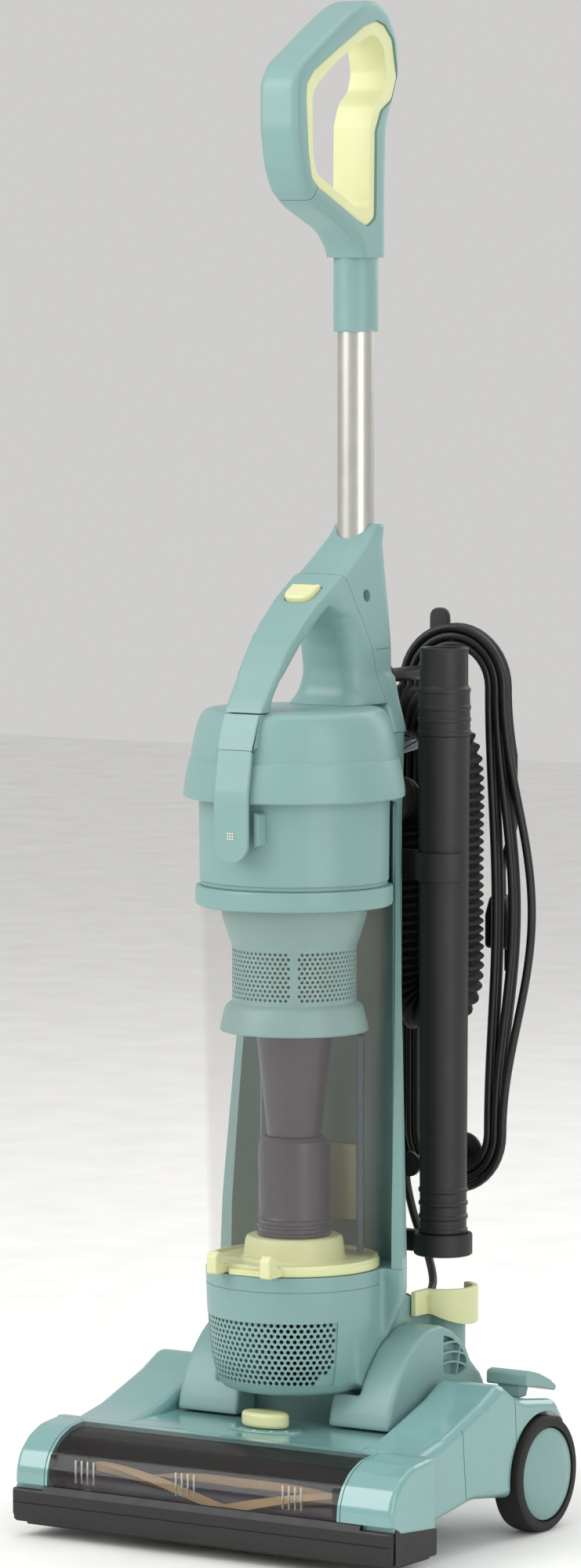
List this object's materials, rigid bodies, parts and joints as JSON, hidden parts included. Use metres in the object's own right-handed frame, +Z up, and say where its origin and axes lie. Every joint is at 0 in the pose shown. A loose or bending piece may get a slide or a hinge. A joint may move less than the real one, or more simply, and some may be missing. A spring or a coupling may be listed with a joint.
{
  "type": "upright vacuum cleaner",
  "caption": "Upright bagless vacuum cleaner with a clear dust cup, wand, stretch hose, wound cord, D-shaped grip and wheeled floor base.",
  "frame": {"origin": "on the floor under the middle of the cleaner's width and depth, cords left out", "axes": "+Z up, the nozzle's front looks along -Y, +X is the side with the wand"},
  "size_m": [0.314, 0.312, 1.073],
  "materials": {
    "teal_plastic": "satin",
    "teal_gloss": "gloss",
    "yellow_plastic": "satin",
    "black_plastic": "satin",
    "black_rubber": "matte",
    "smoked_clear": "gloss",
    "cup_clear": "gloss",
    "dark_plastic": "satin",
    "grey_foam": "matte",
    "pale_filter": "matte",
    "champagne_metal": "satin",
    "steel": "satin"
  },
  "bodies": {
    "base": {"base_shell": "teal_gloss", "nozzle_window": "smoked_clear", "front_bumper": "black_plastic", "soleplate": "black_plastic", "suction_duct": "dark_plastic", "drive_belt": "black_rubber", "brush_bearing_left": "black_plastic", "brush_bearing_right": "black_plastic", "wheel_axle_left": "steel", "wheel_axle_right": "steel"},
    "brush": {"brush_roll": "dark_plastic"},
    "wheel_left": {"wheel_tyre_left": "black_rubber", "wheel_hub_left": "teal_plastic"},
    "wheel_right": {"wheel_tyre_right": "black_rubber", "wheel_hub_right": "teal_plastic"},
    "roller_left": {"front_roller_left": "black_plastic"},
    "roller_right": {"front_roller_right": "black_plastic"},
    "release_pedal": {"release_pedal": "teal_plastic"},
    "power_pedal": {"power_pedal": "yellow_plastic"},
    "knob": {"height_knob": "yellow_plastic"},
    "upright": {"lower_housing": "teal_plastic", "exhaust_grille": "teal_plastic", "exhaust_filter": "pale_filter", "side_cover_left": "teal_plastic", "side_cover_right": "teal_plastic", "motor_can": "steel", "spine_channel": "teal_plastic", "neck_hood": "teal_plastic", "handle_tube": "champagne_metal", "grip_frame": "teal_plastic", "grip_liner": "yellow_plastic", "wand_holder": "black_plastic", "wand_clip": "black_plastic", "lower_cord_hook": "black_plastic", "hose_saddle": "teal_plastic", "tool_clip": "yellow_plastic", "hose_cuff_low": "black_plastic", "hose_cuff_high": "black_plastic", "cord_gland": "black_rubber", "stretch_hose": "black_rubber", "mains_lead": "black_rubber", "cord_hank": "black_rubber", "mains_plug": "black_rubber"},
    "rotor": {"motor_rotor": "steel"},
    "swivel_hook": {"upper_cord_hook": "black_plastic"},
    "cup": {"dust_cup": "cup_clear", "inner_canister": "dark_plastic", "cyclone_cone": "dark_plastic", "cyclone_shroud": "teal_plastic", "cup_ring": "teal_plastic", "filter_chamber": "teal_plastic", "foam_filter": "grey_foam", "cup_lid": "teal_plastic", "carry_handle": "teal_plastic"},
    "cup_door": {"cup_door": "yellow_plastic"},
    "door_latch": {"door_latch": "yellow_plastic"},
    "cup_button": {"cup_release_button": "yellow_plastic"},
    "lid_latch": {"lid_latch": "teal_plastic"},
    "wand": {"wand_body": "black_plastic", "wand_collar": "black_plastic"}
  },
  "joints": [
    {"name": "recline", "type": "hinge", "parent": "base", "child": "upright", "pos_m": [0, 0.03625, 0.07], "axis": [-1, 0, 0], "range_deg": [0, 70]},
    {"name": "wheel_left_spin", "type": "hinge", "parent": "base", "child": "wheel_left", "pos_m": [-0.139, 0.07025, 0.041], "axis": [1, 0, 0], "continuous": true},
    {"name": "wheel_right_spin", "type": "hinge", "parent": "base", "child": "wheel_right", "pos_m": [0.139, 0.07025, 0.041], "axis": [1, 0, 0], "continuous": true},
    {"name": "roller_left_spin", "type": "hinge", "parent": "base", "child": "roller_left", "pos_m": [-0.062, -0.05875, 0.008], "axis": [1, 0, 0], "continuous": true},
    {"name": "roller_right_spin", "type": "hinge", "parent": "base", "child": "roller_right", "pos_m": [0.062, -0.05875, 0.008], "axis": [1, 0, 0], "continuous": true},
    {"name": "brush_spin", "type": "hinge", "parent": "base", "child": "brush", "pos_m": [0, -0.11875, 0.034], "axis": [1, 0, 0], "continuous": true},
    {"name": "motor_spin", "type": "hinge", "parent": "upright", "child": "rotor", "pos_m": [0, 0.03625, 0.07], "axis": [1, 0, 0], "continuous": true},
    {"name": "release_pedal_press", "type": "hinge", "parent": "base", "child": "release_pedal", "pos_m": [0.121, 0.06125, 0.097], "axis": [-1, 0, 0], "range_deg": [0, 5], "stiffness_Nm_per_rad": 2},
    {"name": "power_pedal_press", "type": "hinge", "parent": "base", "child": "power_pedal", "pos_m": [-0.121, 0.06125, 0.097], "axis": [-1, 0, 0], "range_deg": [0, 5], "stiffness_Nm_per_rad": 2},
    {"name": "height_knob_turn", "type": "hinge", "parent": "base", "child": "knob", "pos_m": [0, -0.06375, 0.08], "axis": [0, 0, 1], "range_deg": [-40, 40]},
    {"name": "cup_lift_out", "type": "slide", "parent": "upright", "child": "cup", "axis": [0, -0.9063, 0.4226], "range_m": [0, 0.32]},
    {"name": "cup_door_drop", "type": "hinge", "parent": "cup", "child": "cup_door", "pos_m": [0, -0.09345, 0.201], "axis": [-1, 0, 0], "range_deg": [0, 60.5]},
    {"name": "door_latch_press", "type": "hinge", "parent": "cup", "child": "door_latch", "pos_m": [0, 0.03775, 0.266], "axis": [1, 0, 0], "range_deg": [0, 3], "stiffness_Nm_per_rad": 0.5},
    {"name": "cup_button_press", "type": "slide", "parent": "cup", "child": "cup_button", "axis": [0, 0.4802, -0.8771], "range_m": [0, 0.004], "stiffness_N_per_m": 400},
    {"name": "lid_latch_pull", "type": "hinge", "parent": "cup", "child": "lid_latch", "pos_m": [0, -0.09975, 0.556], "axis": [-1, 0, 0], "range_deg": [0, 10], "stiffness_Nm_per_rad": 0.5},
    {"name": "upper_hook_swivel", "type": "hinge", "parent": "upright", "child": "swivel_hook", "pos_m": [0.012, 0.10125, 0.598], "axis": [0, 1, 0], "range_deg": [0, 180]},
    {"name": "wand_lift_out", "type": "slide", "parent": "upright", "child": "wand", "axis": [0, 0, 1], "range_m": [0, 0.2]}
  ],
  "couplings": [
    {"joint": "motor_spin", "follows": "brush_spin", "ratio": 2.1667},
    {"joint": "cup_door_drop", "follows": "cup_lift_out", "rad_per_m": 3.27}
  ]
}
